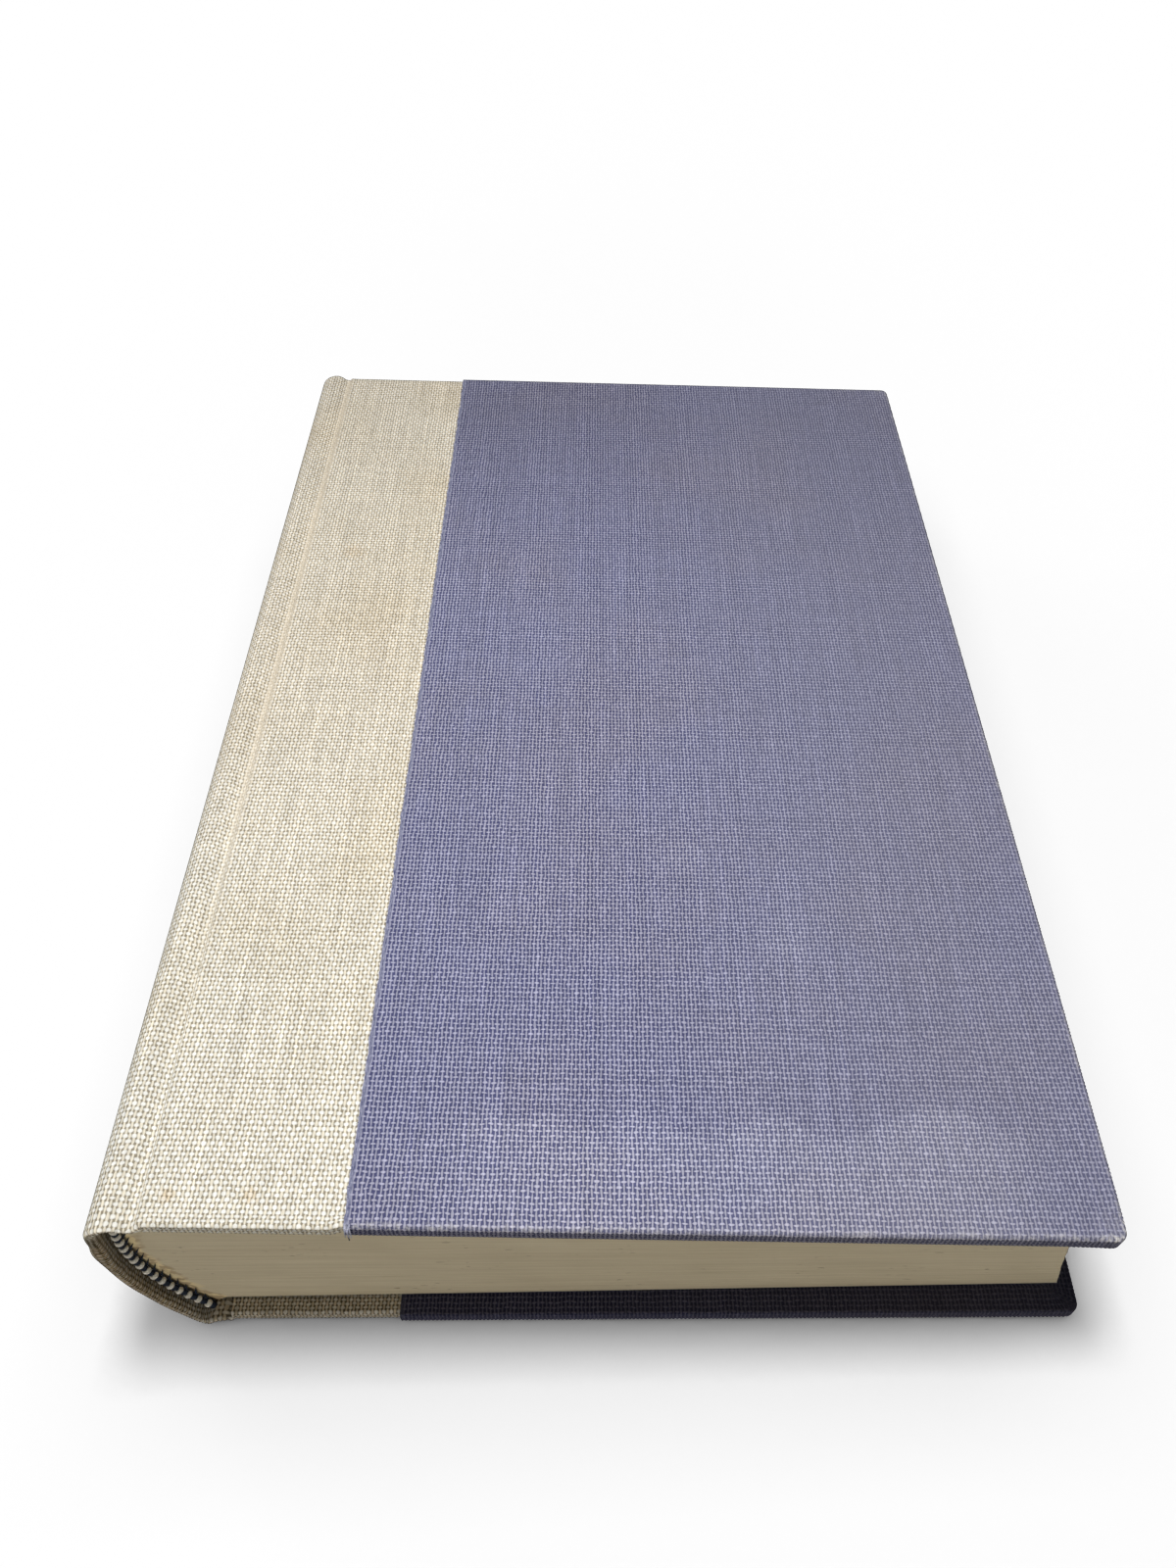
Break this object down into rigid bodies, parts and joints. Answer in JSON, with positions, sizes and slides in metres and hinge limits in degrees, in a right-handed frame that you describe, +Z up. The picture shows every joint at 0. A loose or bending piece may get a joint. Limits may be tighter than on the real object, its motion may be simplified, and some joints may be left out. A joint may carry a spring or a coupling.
{
  "type": "hardback book",
  "caption": "Closed quarter-bound hardback book with pale spine cloth, blue cloth sides, a rounded hollow back, striped endbands and two hinged covers.",
  "frame": {"origin": "under the middle of the closed book's box, on the surface that the back cover lies on", "axes": "+Z up through the closed book from back cover to front cover, +Y from tail to head along the spine, +X from the spine to the fore-edge"},
  "size_m": [0.1526, 0.222, 0.0457],
  "materials": {
    "cream_cloth": "coarse plain-weave cotton bookcloth, matt",
    "blue_cloth": "plain-weave bookcloth, lightly rubbed, matt",
    "greyboard": "dense pressed pulp board, matt",
    "page_paper": "uncoated book paper, cut edges, matt",
    "end_paper": "plain wove endpaper, matt",
    "mull": "open starched cotton gauze",
    "lining_paper": "brown kraft paper",
    "spine_card": "thin bending board",
    "band_thread": "navy and white woven cotton"
  },
  "bodies": {
    "book_block": {"text_block": "page_paper", "front_flyleaf": "end_paper", "back_flyleaf": "end_paper", "mull": "mull", "spine_lining": "lining_paper", "tail_endband": "band_thread", "head_endband": "band_thread", "spine_inlay": "spine_card", "spine_cloth": "cream_cloth"},
    "front_cover": {"front_board": "greyboard", "front_quarter_cloth": "cream_cloth", "front_side_cloth": "blue_cloth", "front_mull_flange": "mull", "front_pastedown": "end_paper"},
    "back_cover": {"back_board": "greyboard", "back_quarter_cloth": "cream_cloth", "back_side_cloth": "blue_cloth", "back_mull_flange": "mull", "back_pastedown": "end_paper"}
  },
  "joints": [
    {"name": "front_cover_hinge", "type": "hinge", "parent": "book_block", "child": "front_cover", "pos_m": [-0.06646, 0, 0.04574], "axis": [0, -1, 0], "range_deg": [0, 180]},
    {"name": "back_cover_hinge", "type": "hinge", "parent": "book_block", "child": "back_cover", "pos_m": [-0.06557, 0, -0.00015], "axis": [0, 1, 0], "range_deg": [0, 180]}
  ]
}
